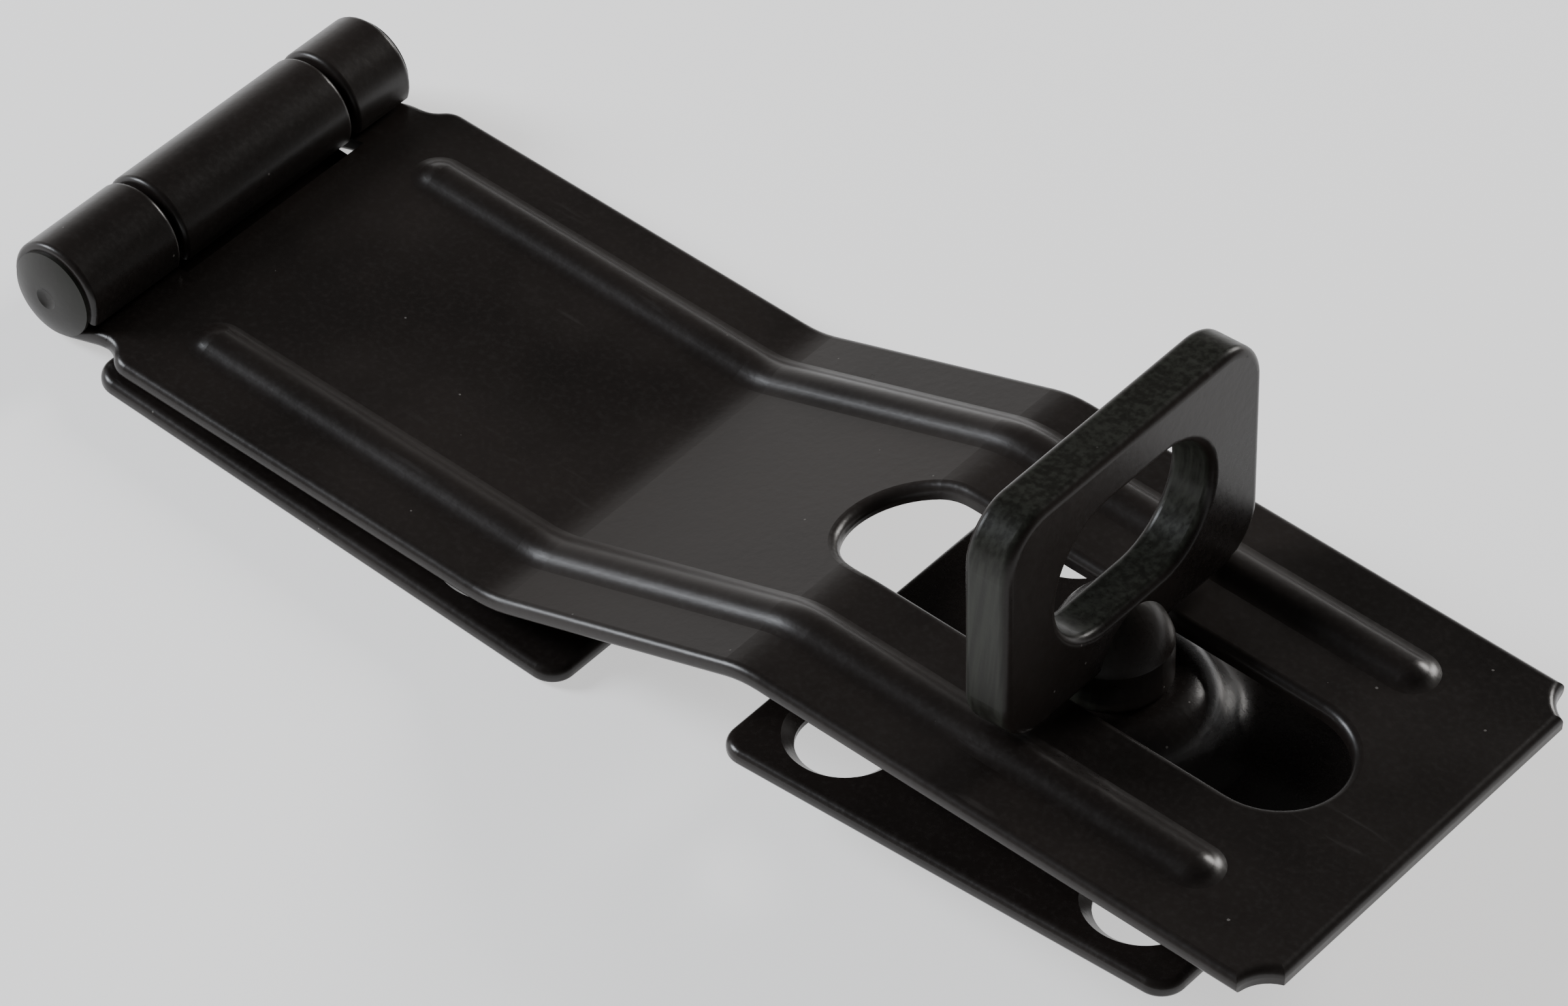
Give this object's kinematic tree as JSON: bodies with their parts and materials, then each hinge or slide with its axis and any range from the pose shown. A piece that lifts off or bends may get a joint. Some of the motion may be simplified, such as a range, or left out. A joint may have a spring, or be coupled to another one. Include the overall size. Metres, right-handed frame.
{
  "type": "swivel staple hasp",
  "caption": "Pressed-steel safety hasp: hinged slotted strap with two beads over a swivelling padlock eye on a domed plate, and a plain screw-down hinge leaf.",
  "frame": {"origin": "centre of the mounting leaf's four screw holes, on the leaf's underside, which is the surface it is screwed to", "axes": "+X from the hinge to the free end of the strap, +Z away from the mounting surface, Y along the hinge pin"},
  "size_m": [0.1141, 0.0384, 0.0346],
  "materials": {
    "coated_sheet": "warm near-black semi-gloss powder coat on pressed sheet",
    "coated_staple": "warm near-black semi-gloss powder coat on a sheared and rounded staple",
    "coated_pin": "matte dark coat on peened pin ends",
    "coated_washer": "warm near-black semi-gloss powder coat"
  },
  "bodies": {
    "leaf": {"mounting_leaf": "coated_sheet"},
    "strap": {"hasp_leaf": "coated_sheet", "hinge_pin": "coated_pin"},
    "staple_base": {"staple_plate": "coated_sheet"},
    "staple": {"staple_eye": "coated_staple", "retaining_washer": "coated_washer"}
  },
  "joints": [
    {"name": "hasp_hinge", "type": "hinge", "parent": "leaf", "child": "strap", "pos_m": [-0.026, 0, 0.00408], "axis": [0, -1, 0], "range_deg": [-1.8, 173.2]},
    {"name": "staple_slide", "type": "slide", "parent": "strap", "child": "staple_base", "axis": [0.9995, 0, 0.0314], "range_m": [-0.012, 0.014]},
    {"name": "staple_swivel", "type": "hinge", "parent": "staple_base", "child": "staple", "pos_m": [0.05689, 0, 0.01511], "axis": [-0.1097, 0, 0.994], "continuous": true}
  ]
}
